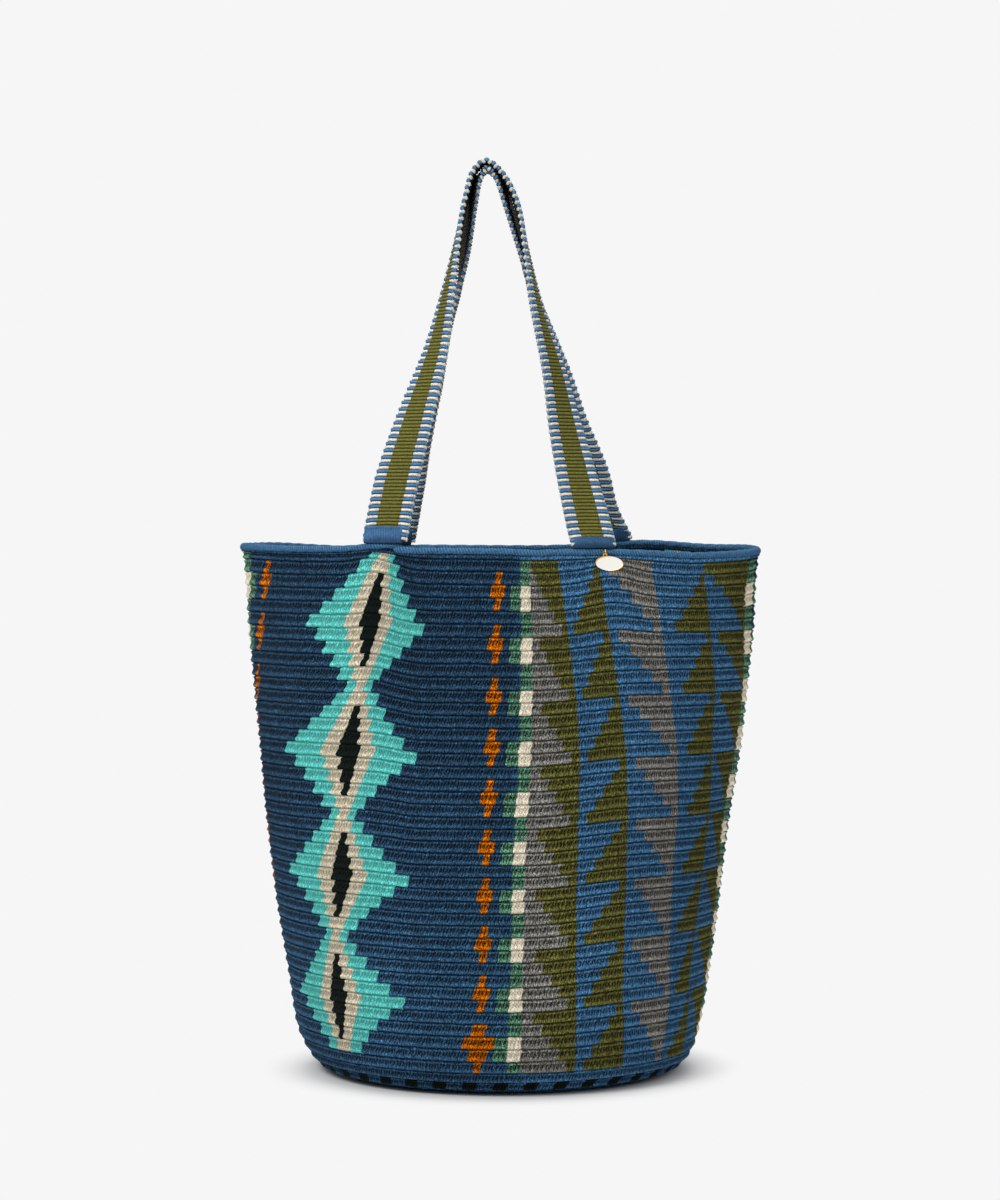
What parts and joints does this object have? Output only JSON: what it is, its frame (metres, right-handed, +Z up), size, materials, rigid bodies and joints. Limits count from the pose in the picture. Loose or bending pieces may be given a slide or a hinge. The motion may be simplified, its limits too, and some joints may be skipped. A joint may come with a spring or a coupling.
{
  "type": "crocheted tote bag",
  "caption": "Crocheted bucket tote with a round flat base, ridged rows, a rolled rim, woven shoulder straps bound to the rim and a small oval tag on a ring.",
  "frame": {"origin": "middle of the flat base, on the floor", "axes": "+Z up through the mouth, +Y towards the back, +X to the right seen from the front"},
  "size_m": [0.3218, 0.2584, 0.5616],
  "materials": {
    "body_yarn": "matt cotton yarn, crocheted in ridged rows",
    "edge_yarn": "matt cotton yarn, corded",
    "strap_weave": "ribbed cotton weave",
    "binding_thread": "satin-stitched thread",
    "tag_metal": "polished pale gold"
  },
  "bodies": {
    "bag": {"crochet_body": "body_yarn", "rim_edging": "edge_yarn", "front_strap": "strap_weave", "back_strap": "strap_weave", "front_left_binding": "binding_thread", "front_right_binding": "binding_thread", "back_left_binding": "binding_thread", "back_right_binding": "binding_thread", "tag_ring": "tag_metal"},
    "tag": {"oval_tag": "tag_metal"}
  },
  "joints": [
    {"name": "tag_swing", "type": "hinge", "parent": "bag", "child": "tag", "pos_m": [0.06276, -0.06225, 0.3201], "axis": [-0.9851, -0.1717, 0], "range_deg": [0, 100]}
  ]
}
